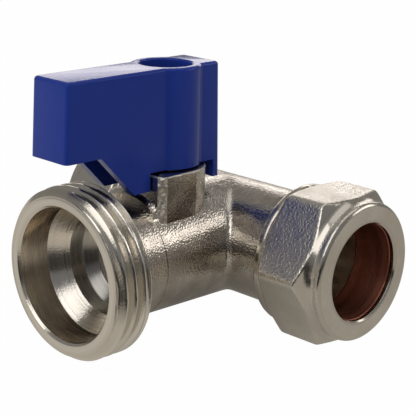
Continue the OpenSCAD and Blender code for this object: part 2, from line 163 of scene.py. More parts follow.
class Solid:
    """A mesh in millimetres that is shaped step by step and then finished as a piece."""

    def __init__(self, name: str, mesh: bmesh.types.BMesh) -> None:
        """Takes over a mesh, which is freed here."""
        self.thing = place_mesh(name, mesh)

    @classmethod
    def turned(cls, name: str, outline: Sequence[Point], lay: Lay, steps: int = ROUND_STEPS,
               shape: Callable[[Vector], Vector] | None = None) -> "Solid":
        """Spins an outline round its axis.

        Args:
            name: Plain name of the shape.
            outline: Points of radius and height. One that starts on the axis is left open there.
            lay: Where the axis lies in the valve.
            steps: Facets round the axis.
            shape: Moves each point of the spun mesh, as for a thread.

        Returns:
            The closed solid.
        """
        mesh = bmesh.new()
        spots = [mesh.verts.new((radius, 0, height)) for radius, height in outline]
        pairs = list(zip(spots, spots[1:]))
        if outline[0][0] > 0:
            pairs.append((spots[-1], spots[0]))
        edges = [mesh.edges.new(pair) for pair in pairs]
        bmesh.ops.spin(mesh, geom=spots + edges, cent=(0, 0, 0), axis=(0, 0, 1), dvec=(0, 0, 0),
                       angle=math.tau, steps=steps, use_merge=True, use_duplicate=False)
        bmesh.ops.remove_doubles(mesh, verts=mesh.verts, dist=1e-5)
        if shape is not None:
            for vert in mesh.verts:
                vert.co = shape(vert.co)
        bmesh.ops.recalc_face_normals(mesh, faces=mesh.faces)
        mesh.transform(lay.value)
        return cls(name, mesh)

    @classmethod
    def tube(cls, name: str, inner: float, outer: float, low: float, high: float, lay: Lay,
             steps: int = ROUND_STEPS) -> "Solid":
        """Turns a plain tube, or a rod where the inner radius is 0."""
        return cls.turned(name, [(inner, low), (outer, low), (outer, high), (inner, high)], lay, steps)

    @classmethod
    def block(cls, name: str, low: Sequence[float], high: Sequence[float], rounding: float = 0.0,
              along: Sequence[float] = (0, 0, 1)) -> "Solid":
        """Makes a block between two corners.

        Args:
            name: Plain name of the shape.
            low: Lowest corner.
            high: Highest corner.
            rounding: Rounding of its edges.
            along: Direction of the edges that are rounded.

        Returns:
            The closed solid.
        """
        mesh = bmesh.new()
        bmesh.ops.create_cube(mesh, size=1)
        bmesh.ops.scale(mesh, vec=Vector(high) - Vector(low), verts=mesh.verts)
        bmesh.ops.translate(mesh, vec=(Vector(low) + Vector(high)) / 2, verts=mesh.verts)
        if rounding > 0:
            ways = {edge: (edge.verts[0].co - edge.verts[1].co).normalized() for edge in mesh.edges}
            round_edges(mesh, [edge for edge, way in ways.items() if abs(way.dot(Vector(along))) > 0.9], rounding, 3)
        return cls(name, mesh)

    @classmethod
    def prism(cls, name: str, outline: Sequence[Point], low: float, high: float, place: Matrix,
              top_round: float = 0.0, segments: int = 4, lean: Callable[[Vector], Vector] | None = None) -> "Solid":
        """Extrudes an outline along Z.

        Args:
            name: Plain name of the shape.
            outline: Corners of the outline in X and Y, anticlockwise.
            low: Height of its lower face.
            high: Height of its upper face.
            place: Lays the prism in the valve.
            top_round: Rounding of the upper face's edge.
            segments: Facets across that rounding.
            lean: Moves each point before the rounding, as for a draft.

        Returns:
            The closed solid.
        """
        mesh = bmesh.new()
        face = mesh.faces.new([mesh.verts.new((x, y, low)) for x, y in outline])
        raised = bmesh.ops.extrude_face_region(mesh, geom=[face])
        top = [item for item in raised["geom"] if isinstance(item, bmesh.types.BMVert)]
        bmesh.ops.translate(mesh, vec=(0, 0, high - low), verts=top)
        if lean is not None:
            for vert in mesh.verts:
                vert.co = lean(vert.co)
        bmesh.ops.recalc_face_normals(mesh, faces=mesh.faces)
        if top_round > 0:
            rim = [edge for edge in mesh.edges if all(abs(v.co.z - high) < 1e-4 for v in edge.verts)]
            round_edges(mesh, rim, top_round, segments)
        mesh.transform(place)
        return cls(name, mesh)

    def work(self, how: Cut, *tools: "Solid") -> "Solid":
        """Joins, removes or keeps what other solids share with this one, and uses them up.

        Args:
            how: What is done with each tool.
            tools: The solids that are worked in, in order.

        Returns:
            This solid.
        """
        for tool in tools:
            change = self.thing.modifiers.new(tool.thing.name, "BOOLEAN")
            change.operation = how.value
            change.solver = "MANIFOLD"
            change.object = tool.thing
        self.settle()
        for tool in tools:
            data = tool.thing.data
            bpy.data.objects.remove(tool.thing)
            bpy.data.meshes.remove(data)
        return self

    def forge(self, grain: float, passes: int) -> "Solid":
        """Gives the whole skin the soft inner and outer corners of a forging.

        Args:
            grain: Size of the skin's facets.
            passes: Smoothing passes, more for wider fillets.

        Returns:
            This solid.
        """
        skin = self.thing.modifiers.new("skin", "REMESH")
        skin.mode = "VOXEL"
        skin.voxel_size = grain
        soft = self.thing.modifiers.new("soft", "SMOOTH")
        soft.factor = 0.5
        soft.iterations = passes
        self.settle()
        return self

    def settle(self) -> None:
        """Makes the modifiers' result this solid's own mesh."""
        bpy.context.view_layer.update()
        graph = bpy.context.evaluated_depsgraph_get()
        result = bpy.data.meshes.new_from_object(self.thing.evaluated_get(graph))
        old = self.thing.data
        self.thing.modifiers.clear()
        self.thing.data = result
        bpy.data.meshes.remove(old)

    def finish(self, name: str, body: str, slot: str, node: str, base: "Look",
               zones: Sequence[tuple["Look", Rule]] = (), crease: float = 30.0) -> Piece:
        """Turns the solid into a piece of the valve.

        Args:
            name: Plain name of the piece.
            body: Moving body that it rides on.
            slot: Material slot of the record. Not used.
            node: Node that it stands for.
            base: Its finish.
            zones: Other finishes, each with a rule that is asked with a face's middle and normal. The last wins.
            crease: Angle in degrees over which an edge stays sharp.

        Returns:
            The piece, in metres.
        """
        piece = self.thing
        piece.name = piece.data.name = name
        chosen = [0] * len(piece.data.polygons)
        for index, (_, rule) in enumerate(zones, 1):
            for face in piece.data.polygons:
                if rule(face.center, face.normal):
                    chosen[face.index] = index
        piece.data.materials.clear()
        for look in (base, *(look for look, _ in zones)):
            piece.data.materials.append(look.value.build())
        piece.data.polygons.foreach_set("material_index", chosen)
        piece.data.transform(Matrix.Scale(MILLIMETRE, 4))
        piece.data.shade_smooth()
        piece.data.set_sharp_from_angle(angle=math.radians(crease))
        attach(piece, body)
        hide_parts(node)
        LOG.info("%s: %d faces in finishes %s, rides on %s", name, len(chosen), sorted(set(chosen)), body)
        return piece


@dataclass(frozen=True)
class ScrewThread:
    """A helical thread that is pressed into a spun mesh."""

    crest: float
    depth: float
    pitch: float
    first: float
    start: float
    end: float
    inward: bool = False
    fade: float = 0.01
    flat_share: float = 0.13

    def groove(self, along: float, angle: float) -> float:
        """Tells how deep the thread is cut at a place.

        Args:
            along: Distance along the axis.
            angle: Angle round the axis, anticlockwise seen from the open end.

        Returns:
            A share of the full depth, from 0 on a crest to 1 in a root.
        """
        turns = (along - self.first) / self.pitch + angle / math.tau
        away = abs(turns - round(turns)) * self.pitch
        flat = self.flat_share * self.pitch / 2
        share = min(max((away - flat) / (self.pitch / 2 - 2 * flat), 0.0), 1.0)
        return 0.5 * share + 0.5 * share * share * (3 - 2 * share)

    def press(self, spot: Vector) -> Vector:
        """Moves a point of a mesh spun round Z onto the thread's surface.

        Args:
            spot: The point.

        Returns:
            Where it goes.
        """
        radius = math.hypot(spot.x, spot.y)
        innermost = self.crest - 0.02 if self.inward else self.crest - self.depth - 0.6
        if not self.start <= spot.z <= self.end or radius < innermost:
            return spot
        angle = math.atan2(-spot.y, spot.x)
        cut = self.depth * self.groove(spot.z, angle) * min(1.0, (self.end - spot.z) / self.fade)
        new = max(radius, self.crest + cut) if self.inward else min(radius, self.crest - cut)
        return Vector((spot.x * new / radius, spot.y * new / radius, spot.z))


class Board:
    """Adds and links the nodes of one tree."""

    def __init__(self, tree: bpy.types.NodeTree) -> None:
        """Keeps the tree that nodes are added to."""
        self.tree = tree

    def add(self, kind: str, inputs: dict[str | int, Any] | None = None, **settings: Any) -> bpy.types.Node:
        """Adds a node.

        Args:
            kind: Type of the node, without its ShaderNode prefix.
            inputs: A value or a socket for each input.
            settings: Properties of the node.

        Returns:
            The node.
        """
        node = self.tree.nodes.new("ShaderNode" + kind)
        for name, value in settings.items():
            setattr(node, name, value)
        for name, value in (inputs or {}).items():
            self.feed(node.inputs[name], value)
        return node

    def feed(self, target: Socket, value: Any) -> None:
        """Gives an input a value, or links it to a socket."""
        if isinstance(value, Socket):
            self.tree.links.new(value, target)
        else:
            target.default_value = value

    def math(self, how: str, first: Any, second: Any = 0.0, clamp: bool = False) -> Socket:
        """Works out a sum of two values or sockets."""
        return self.add("Math", {0: first, 1: second}, operation=how, use_clamp=clamp).outputs[0]

    def vectors(self, how: str, first: Any, second: Any, gives: str = "Vector") -> Socket:
        """Works out a sum of two vectors."""
        return self.add("VectorMath", {0: first, 1: second}, operation=how).outputs[gives]

    def spread(self, value: Any, low: float, high: float, to_low: float = 0.0, to_high: float = 1.0) -> Socket:
        """Maps a value from one range to another, and holds it at the ends."""
        return self.add("MapRange", {0: value, 1: low, 2: high, 3: to_low, 4: to_high}).outputs[0]

    def blend(self, share: Any, first: Any, second: Any) -> Socket:
        """Mixes two colours, each a socket or a tuple without its alpha."""
        ends = [(*end, 1.0) if isinstance(end, tuple) else end for end in (first, second)]
        return self.add("Mix", {"Factor": share, 6: ends[0], 7: ends[1]}, data_type="RGBA").outputs[2]

    def noise(self, where: Socket, scale: Any, detail: float, roughness: float = 0.5) -> Socket:
        """Adds noise from 0 to 1."""
        inputs = {"Vector": where, "Scale": scale, "Detail": detail, "Roughness": roughness}
        return self.add("TexNoise", inputs).outputs[0]

    def group(self, tree: bpy.types.NodeTree, where: Socket, **inputs: Any) -> Any:
        """Adds a shared effect and gives its outputs."""
        return self.add("Group", {"Vector": where, **inputs}, node_tree=tree).outputs


def effect(name: str, inputs: dict[str, float], outputs: Sequence[str]) -> tuple[Board, Any, Any]:
    """Starts a node group for an effect that several finishes share.

    Args:
        name: Name of the group.
        inputs: Its inputs beside the vector, with their values.
        outputs: Its outputs, all values.

    Returns:
        The group's board, its input sockets and its output sockets.
    """
    tree = bpy.data.node_groups.new(name, "ShaderNodeTree")
    tree.interface.new_socket(name="Vector", in_out="INPUT", socket_type="NodeSocketVector")
    for label, value in inputs.items():
        socket = tree.interface.new_socket(name=label, in_out="INPUT", socket_type="NodeSocketFloat")
        socket.default_value = value
    for label in outputs:
        tree.interface.new_socket(name=label, in_out="OUTPUT", socket_type="NodeSocketFloat")
    return Board(tree), tree.nodes.new("NodeGroupInput").outputs, tree.nodes.new("NodeGroupOutput").inputs


@cache
def forged_grain() -> bpy.types.NodeTree:
    """Makes the pebbled skin of a shot-blasted and plated forging."""
    board, given, target = effect("forged_grain", {"Grain": 3200.0, "Waves": 420.0}, ("Height", "Pits", "Patches"))
    where, waves = given["Vector"], given["Waves"]
    fine = board.noise(where, given["Grain"], 0.0)
    wave = board.noise(where, waves, 2.0)
    patch = board.noise(where, board.math("MULTIPLY", waves, 0.35), 3.0, 0.55)
    height = board.math("ADD", board.spread(fine, 0.3, 0.7), board.math("MULTIPLY", wave, 0.5))
    board.feed(target["Height"], height)
    board.feed(target["Pits"], board.spread(fine, 0.56, 0.72))
    board.feed(target["Patches"], board.spread(patch, 0.35, 0.65))
    return board.tree


@cache
def turning_marks() -> bpy.types.NodeTree:
    """Makes the fine rings that a lathe tool leaves round the Z axis of its vector."""
    board, given, target = effect("turning_marks", {"Rings": 2600.0}, ("Height", "Rings", "Bands"))
    parts = board.add("SeparateXYZ", {0: given["Vector"]}).outputs
    squares = [board.math("POWER", part, 2.0) for part in parts[:2]]
    radius = board.math("SQRT", board.math("ADD", *squares))
    spot = board.add("CombineXYZ", {0: radius, 1: parts[2], 2: 0.0}).outputs[0]
    rings = board.noise(spot, given["Rings"], 2.0, 0.7)
    bands = board.noise(spot, board.math("MULTIPLY", given["Rings"], 0.22), 1.0)
    board.feed(target["Height"], rings)
    board.feed(target["Rings"], board.spread(rings, 0.35, 0.65))
    board.feed(target["Bands"], board.spread(bands, 0.35, 0.65))
    return board.tree


@cache
def handling_scratches() -> bpy.types.NodeTree:
    """Makes thin scratches in two directions, as parts get in a bin."""
    board, given, target = effect("handling_scratches", {"Amount": 1.0}, ("Mask",))
    masks = []
    for turn, long in (((0.3, 0.9, 0.4), 0.10), ((1.1, -0.5, 0.8), 0.08)):
        laid = board.add("Mapping", {"Vector": given["Vector"], "Rotation": turn, "Scale": (1.0, long, 1.0)})
        masks.append(board.spread(board.noise(laid.outputs[0], 2400.0, 1.0), 0.66, 0.74))
    both = board.math("MAXIMUM", *masks)
    board.feed(target["Mask"], board.math("MULTIPLY", both, given["Amount"], clamp=True))
    return board.tree


@dataclass(frozen=True)
class Sheet:
    """A new material on which a finish lays its nodes."""

    material: Material
    board: Board
    shader: bpy.types.Node

    @classmethod
    def start(cls, name: str) -> "Sheet":
        """Starts a material with a plain surface shader."""
        material = bpy.data.materials.new(name)
        material.use_nodes = True
        shader = next(node for node in material.node_tree.nodes if node.type == "BSDF_PRINCIPLED")
        return cls(material, Board(material.node_tree), shader)

    def set(self, **inputs: Any) -> None:
        """Sets inputs of the shader, named with _ for a space."""
        for name, value in inputs.items():
            self.board.feed(self.shader.inputs[name.replace("_", " ")], value)


@dataclass(frozen=True)
class Finish:
    """What every finish has in common. The relief is the height of its bumps in metres."""

    name: str
    colour: Colour
    deep: Colour
    roughness: tuple[float, float]
    relief: float

    def lay(self, sheet: Sheet, where: Socket) -> Layers:
        """Lays the nodes that make the finish its own.

        Args:
            sheet: The material.
            where: The object's coordinates.

        Returns:
            The colour, the roughness and the height of the surface.
        """
        raise NotImplementedError

    @cache
    def build(self) -> Material:
        """Builds the material once."""
        sheet = Sheet.start(self.name)
        where = sheet.board.add("TexCoord").outputs["Object"]
        tone, rough, height = self.lay(sheet, where)
        bump = sheet.board.add("Bump", {"Height": height, "Strength": 1.0, "Distance": self.relief})
        sheet.set(Base_Color=tone, Roughness=rough, Normal=bump.outputs[0])
        return sheet.material


@dataclass(frozen=True)
class PlatedMetal(Finish):
    """Bright metal with a forged or blasted skin."""

    grain: float = 3600.0
    waves: float = 700.0
    scratches: float = 0.6

    def lay(self, sheet: Sheet, where: Socket) -> Layers:
        """Lays grain, pits and scratches, with Args and Returns as in Finish."""
        board = sheet.board
        skin = board.group(forged_grain(), where, Grain=self.grain, Waves=self.waves)
        scratch = board.group(handling_scratches(), where, Amount=self.scratches)["Mask"]
        tone = board.blend(skin["Patches"], self.deep, self.colour)
        tone = board.blend(board.math("MULTIPLY", skin["Pits"], 0.35), tone, self.deep)
        rough = board.spread(skin["Patches"], 0.0, 1.0, *reversed(self.roughness))
        rough = board.math("SUBTRACT", rough, board.math("MULTIPLY", scratch, 0.08))
        height = board.math("SUBTRACT", skin["Height"], board.math("MULTIPLY", scratch, 0.5))
        sheet.set(Metallic=1.0)
        return tone, rough, height


@dataclass(frozen=True)
class TurnedMetal(Finish):
    """Bright metal with rings from the lathe, round an axis through a centre."""

    rings: float = 2600.0
    centre: tuple[float, float, float] = (0.0, 0.0, 0.0)
    turn: tuple[float, float, float] = (0.0, 0.0, 0.0)
    axis: tuple[float, float, float] = (0.0, 0.0, 1.0)
    stretch: float = 0.75

    def lay(self, sheet: Sheet, where: Socket) -> Layers:
        """Lays rings and stretched reflections, with Args and Returns as in Finish."""
        board = sheet.board
        around = board.vectors("CROSS_PRODUCT", self.axis, board.vectors("SUBTRACT", where, self.centre))
        around = board.add("VectorTransform", {0: around}, vector_type="VECTOR",
                           convert_from="OBJECT", convert_to="WORLD").outputs[0]
        laid = board.add("Mapping", {"Vector": where, "Location": self.centre, "Rotation": self.turn},
                         vector_type="TEXTURE").outputs[0]
        marks = board.group(turning_marks(), laid, Rings=self.rings)
        skin = board.group(forged_grain(), where)
        tone = board.blend(marks["Bands"], self.deep, self.colour)
        tone = board.blend(board.math("MULTIPLY", skin["Patches"], 0.2), tone, self.colour)
        rough = board.spread(marks["Rings"], 0.0, 1.0, *self.roughness)
        height = board.math("ADD", marks["Height"], board.math("MULTIPLY", skin["Height"], 0.14))
        sheet.set(Metallic=1.0, Tangent=around, Anisotropic=self.stretch, Anisotropic_Rotation=0.25)
        return tone, rough, height


@dataclass(frozen=True)
class Moulded(Finish):
    """Plastic, rubber or soft seal material from a mould."""

    relief: float = 6e-6
    grain: float = 1500.0
    waves: float = 260.0
    sheen: Colour = (1.0, 1.0, 1.0)

    def lay(self, sheet: Sheet, where: Socket) -> Layers:
        """Lays faint patches and waves, with Args and Returns as in Finish."""
        skin = sheet.board.group(forged_grain(), where, Grain=self.grain, Waves=self.waves)
        tone = sheet.board.blend(skin["Patches"], self.deep, self.colour)
        rough = sheet.board.spread(skin["Patches"], 0.0, 1.0, *self.roughness)
        sheet.set(IOR=1.5, Specular_Tint=(*self.sheen, 1.0))
        return tone, rough, skin["Height"]


ON_BRANCH = dict(turn=(math.radians(-90), 0.0, 0.0), axis=(0.0, 1.0, 0.0))
ON_RUN = dict(centre=(0.0, MOUTH_TO_RUN * MILLIMETRE, 0.0), turn=(0.0, math.radians(90), 0.0), axis=(1.0, 0.0, 0.0))
ON_STEM = dict(centre=(0.0, MOUTH_TO_STEM * MILLIMETRE, 0.0))


class Look(Enum):
    """Every finish of the valve."""

    FORGED = PlatedMetal("nickel_forged", (0.65, 0.60, 0.53), (0.46, 0.42, 0.37), (0.15, 0.23), 22e-6, grain=3500.0)
    OUTLET = TurnedMetal(
        "nickel_turned", (0.74, 0.70, 0.63), (0.60, 0.55, 0.47), (0.16, 0.27), 45e-6, rings=2300.0, **ON_BRANCH)
    # Painted shade: a dark copy of the turned nickel for the seat retainer deep inside the mouth.
    RING = TurnedMetal(
        "nickel_ring_painted_shade", (0.36, 0.34, 0.31), (0.26, 0.245, 0.22), (0.2, 0.3), 10e-6, rings=1800.0, **ON_BRANCH)
    # Painted shade: a darker, browner copy of the turned nickel for the counterbore wall inside the mouth.
    BORE_SHADE = TurnedMetal(
        "nickel_bore_painted_shade", (0.63, 0.55, 0.44), (0.47, 0.40, 0.32), (0.18, 0.28), 12e-6, rings=2300.0, **ON_BRANCH)
    # Painted shade: a darker copy of the forged nickel for the turret's two side faces.
    TURRET_SHADE = PlatedMetal("nickel_turret_painted_shade", (0.40, 0.355, 0.30), (0.29, 0.255, 0.21), (0.15, 0.21), 14e-6, grain=3000.0)
    # Painted highlight: a lighter copy of the forged nickel for the turret's bevelled corners and rounded top edge;
    # its coarse bumps give their real notched surface.
    STRIP = PlatedMetal("nickel_strip_painted_highlight", (0.78, 0.73, 0.65), (0.60, 0.55, 0.47), (0.36, 0.44), 220e-6, grain=1000.0)
    NUT = PlatedMetal(
        "nickel_nut", (0.70, 0.66, 0.585), (0.62, 0.575, 0.50), (0.24, 0.34), 24e-6,
        grain=3300.0, waves=450.0, scratches=0.3)
    NUT_TURNED = TurnedMetal(
        "nickel_nut_turned", (0.67, 0.63, 0.56), (0.56, 0.51, 0.44), (0.15, 0.24), 20e-6, rings=1900.0, **ON_RUN)
    COPPER = TurnedMetal(
        "copper", (0.62, 0.27, 0.19), (0.50, 0.21, 0.14), (0.30, 0.42), 10e-6,
        rings=1500.0, stretch=0.4, **ON_RUN)
    LEVER = Moulded("blue_plastic", (0.0145, 0.035, 0.235), (0.012, 0.031, 0.215), (0.12, 0.2), sheen=(0.2, 0.2, 0.22))
    SEAL = Moulded("ptfe", (0.80, 0.79, 0.75), (0.74, 0.73, 0.69), (0.4, 0.55))
    CHROME = PlatedMetal("chrome_ball", (0.72, 0.72, 0.73), (0.66, 0.66, 0.67), (0.05, 0.09), 3e-6, scratches=0.3)
    BRASS = TurnedMetal(
        "brass_turned", (0.72, 0.50, 0.22), (0.60, 0.40, 0.17), (0.16, 0.28), 10e-6, rings=3200.0, **ON_STEM)
    RUBBER = Moulded("black_rubber", (0.016, 0.016, 0.017), (0.011, 0.011, 0.012), (0.45, 0.6))
    ZINC = TurnedMetal("zinc_steel", (0.62, 0.64, 0.66), (0.50, 0.51, 0.50), (0.16, 0.28), 8e-6, **ON_STEM)


@dataclass
class TeeBody:
    """The forged and machined tee body."""

    run_radius: float = 9.25
    branch_radius: float = 9.15
    branch_end_radius: float = 9.5
    neck_radius: float = 9.05
    neck_start: float = 9.4
    neck_end: float = 13.0
    thread_radius: float = 13.21
    thread_depth: float = 1.16
    thread_pitch: float = 1.814
    thread_first: float = 3.05
    thread_end: float = 5.8
    rim_radius: float = 12.1
    lead: float = 1.1
    mouth_radius: float = 10.24
    mouth_edge: float = 0.35
    counterbore: float = 5.44
    cone_end: float = 8.2
    chamber_radius: float = 8.05
    chamber_end: float = 24.7
    seat_pocket: float = 7.22
    seat_back: float = 27.9
    port_radius: float = 5.0
    turret_half: float = 6.45
    turret_bevel: float = 1.0
    turret_top: float = 13.75
    pad_radius: float = 10.0
    pad_inset: float = 0.9
    stem_room: float = 4.25
    stem_room_top: float = 9.45
    stem_hole: float = 3.05
    stem_lead: float = 0.25
    run_way: float = 6.0
    stop: float = 12.0
    socket_radius: float = 7.6
    socket_cone: float = 21.28
    cone_radius: float = 8.02
    body_end: float = 22.4
    end_cut_start: float = 15.9
    end_cut_radius: float = 8.6
    end_start: float = 14.0
    end_inset: float = 0.35
    end_inset_end: float = 15.6
    end_thread_start: float = 16.3
    end_thread_radius: float = 9.9
    end_thread_depth: float = 0.85
    end_thread_pitch: float = 1.5

    def blank(self) -> Solid:
        """Forges the outer skin of the branch, the run and the pad in front of the turret."""
        branch = Solid.turned("branch_blank", [
            (0, 8), (self.branch_radius, 8), (self.branch_radius, self.neck_end),
            (self.branch_end_radius, MOUTH_TO_RUN - 4), (self.branch_end_radius, MOUTH_TO_RUN), (0, MOUTH_TO_RUN)],
            Lay.BRANCH)
        run = Solid.tube("run_blank", 0, self.run_radius, -20, 20, Lay.RUN_RIGHT)
        pad = Solid.tube("pad_blank", 0, self.pad_radius + 0.1, 11, MOUTH_TO_STEM, Lay.BRANCH)
        half = self.turret_half - self.pad_inset
        pad.work(Cut.KEEP, Solid.block("pad_width", (-half, 0, 0), (half, 30, 12)))
        return branch.work(Cut.JOIN, run, pad).forge(grain=0.3, passes=18)

    def turret(self) -> Solid:
        """Makes the square turret: two bevelled corners stop the lever, which sweeps past the round ones."""
        half, bevel = self.turret_half, self.turret_bevel
        stop = soften([(0, -half), (half - bevel, -half), (half, bevel - half), (half, 0)], {1: 0.2, 2: 0.2}, 3)
        outline = stop + arc((0, 0), half, 0, 90, 14)[1:-1]
        outline += [(-x, -y) for x, y in outline]
        return Solid.prism("turret", outline, 2.0, self.turret_top, Lay.STEM.value, top_round=0.22, segments=3)

    def on_turret(self, spot: Vector) -> bool:
        """Tells whether a spot lies on the turret's sides."""
        return spot.z > 6.5 and max(abs(spot.x), abs(spot.y - MOUTH_TO_STEM)) < self.turret_half + 0.01

    def pad_fillet(self) -> Solid:
        """Turns the fillet between the pad's top and the turret's front flat."""
        rise = MOUTH_TO_STEM - self.turret_half - self.neck_end
        outer = self.pad_radius + rise
        half = self.turret_half - self.turret_bevel
        fillet = Solid.turned("pad_fillet", [
            (7, self.neck_end), *arc((outer, self.neck_end), rise, 180, 90, 10),
            (outer, MOUTH_TO_STEM), (7, MOUTH_TO_STEM)], Lay.BRANCH)
        return fillet.work(Cut.KEEP, Solid.block("pad_width", (-half, 0, 7.5), (half, 16, 12)))

    def outlet(self) -> Solid:
        """Turns the outlet's outside: rim, thread, back cone and neck."""
        crest, root = self.thread_radius, self.thread_radius - self.thread_depth
        outline: list[Point] = [(0, 0.0), (self.rim_radius - 0.12, 0.0), (self.rim_radius, 0.06)]
        for height in rows(0.15, self.thread_end, 0.1):
            outline.append((min(crest, self.rim_radius + (crest - self.rim_radius) * height / self.lead), height))
        outline += [(root + 0.3, self.thread_end + 0.35), (root, self.thread_end + 0.6)]
        outline += soften([
            (root, self.thread_end + 0.6), (self.neck_radius, self.neck_start - 0.2),
            (self.neck_radius, self.neck_end + 0.25), (0, self.neck_end + 0.25)], {1: 0.8})[1:]
        thread = ScrewThread(crest, self.thread_depth, self.thread_pitch, self.thread_first,
                             0.1, self.thread_end - 0.1, fade=0.6)
        return Solid.turned("outlet_outside", outline, Lay.BRANCH, steps=180, shape=thread.press)

    def run_end(self, lay: Lay) -> Solid:
        """Turns one threaded end of the run.

        Args:
            lay: Which end it is.

        Returns:
            The solid.
        """
        crest, neck = self.end_thread_radius, self.run_radius - self.end_inset
        outline: list[Point] = [(0, self.end_start), (neck, self.end_start), (neck, self.end_inset_end)]
        for height in rows(self.end_thread_start - 0.5, self.body_end, 0.1):
            near = min(height - self.end_thread_start + 0.5, self.body_end - height)
            outline.append((min(crest, crest - 0.55 + near * 1.1), height))
        outline.append((0, self.body_end))
        thread = ScrewThread(crest, self.end_thread_depth, self.end_thread_pitch, 0.0,
                             self.end_thread_start - 0.4, self.body_end - 0.05)
        return Solid.turned("run_end", outline, lay, steps=144, shape=thread.press)

    def bores(self) -> list[Solid]:
        """Makes the cutters for the mouth, chamber, waterways, sockets and stem."""
        chamber, past = self.chamber_radius, self.body_end + 1
        edge = self.mouth_radius + self.mouth_edge
        branch = Solid.turned("branch_bore", [
            (0, -1), (edge + 0.8, -1), (edge + 0.1, -0.02), *soften([
                (edge, 0.0), (self.mouth_radius, self.mouth_edge), (self.mouth_radius, self.counterbore),
                (chamber, self.cone_end)], {1: 0.12, 2: 0.06}),
            (chamber, self.chamber_end), (self.seat_pocket, self.chamber_end), (self.seat_pocket, self.seat_back),
            (self.port_radius, self.seat_back), (self.port_radius, MOUTH_TO_RUN), (0, MOUTH_TO_RUN)],
            Lay.BRANCH, steps=144)
        runs = [Solid.turned("run_bore", [
            (0, -1), (self.run_way, -1), (self.run_way, self.stop), (self.socket_radius, self.stop),
            (self.socket_radius, self.socket_cone), (self.cone_radius, self.socket_cone),
            (self.cone_radius + past - self.socket_cone, past), (0, past)], lay) for lay in RUN_ENDS.values()]
        stem = Solid.turned("stem_bore", [
            (0, 2), (self.stem_room, 2), (self.stem_room, self.stem_room_top), (self.stem_hole, self.stem_room_top),
            (self.stem_hole, self.turret_top - self.stem_lead), (self.stem_hole + self.stem_lead, self.turret_top),
            (self.stem_hole + self.stem_lead, 20), (0, 20)], Lay.STEM, steps=96)
        return [branch, *runs, stem]

    def zones(self) -> list[tuple[Look, Rule]]:
        """Lists the machined zones of the skin, each with its finish and the rule that picks its faces. Some of these
        finishes are darker or lighter copies of the nickel that carry painted shade or a painted highlight.
        """
        half = self.turret_half
        bore = self.chamber_radius + 0.05
        return [
            (Look.OUTLET, lambda spot, normal: (
                spot.y < self.neck_start - 0.02
                or math.hypot(spot.x, spot.z) < bore and spot.y < self.seat_back + 0.1)),
            (Look.NUT_TURNED, lambda spot, normal: (
                abs(spot.x) > self.end_cut_start - 0.05 or math.hypot(spot.y - MOUTH_TO_RUN, spot.z) < bore)),
            # Painted shade: the turret's side faces get the darker nickel.
            (Look.TURRET_SHADE, lambda spot, normal: (
                self.on_turret(spot) and abs(spot.x) > half - 0.1 and abs(normal.x) > 0.98)),
            # Painted highlight: the bevelled corners and the top edge's rounding get the lighter nickel.
            (Look.STRIP, lambda spot, normal: self.on_turret(spot) and (
                abs(spot.x + MOUTH_TO_STEM - spot.y) > 2 * half - self.turret_bevel - 0.05
                or spot.z > self.turret_top - 0.24 and 0.1 < normal.z < 0.97)),
            # Painted shade: the counterbore wall gets the darker nickel.
            (Look.BORE_SHADE, lambda spot, normal: (
                0.3 < spot.y < self.counterbore and math.hypot(spot.x, spot.z) < self.mouth_radius + 0.1
                and abs(normal.y) < 0.3)),
        ]

    def build(self) -> Piece:
        """Builds and dresses the body."""
        body = self.blank()
        neck = Solid.tube("neck_cut", self.neck_radius - 0.3, 20, 5, self.neck_end, Lay.BRANCH)
        body.work(Cut.REMOVE, neck, *(
            Solid.tube("end_cut", self.end_cut_radius, 20, self.end_cut_start, 24, lay) for lay in RUN_ENDS.values()))
        body.work(Cut.JOIN, self.outlet(), self.turret(), self.pad_fillet(), *map(self.run_end, RUN_ENDS.values()))
        body.work(Cut.REMOVE, *self.bores())
        return body.finish("tee_body", "valve_body", "nickel_forged", "body",
                           Look.FORGED, self.zones(), crease=32.0)


@dataclass
class SeatRetainer:
    """The screwed ring with a polished cone behind the outlet."""

    outer: float = 8.03
    inner: float = 6.3
    front: float = 10.6
    back: float = 13.1

    def build(self) -> Piece:
        """Builds and dresses the ring."""
        ring = Solid.turned("ring", soften([
            (self.outer, self.front), (self.outer, self.back), (self.inner, self.back),
            (self.inner, self.front + self.outer - self.inner)], {0: 0.06, 2: 0.08, 3: 0.16}, 5),
            Lay.BRANCH, steps=144)
        # Painted shade: the retainer's finish is the dark copy of the turned nickel.
        return ring.finish("seat_retainer_ring", "valve_body", "nickel_turned", "seat_retainer", Look.RING)


@dataclass
class RunPart:
    """A part that sits on one end of the run, right or left."""

    side: str

    @property
    def lay(self) -> Lay:
        """Gives the end of the run that it sits on."""
        return RUN_ENDS[self.side]


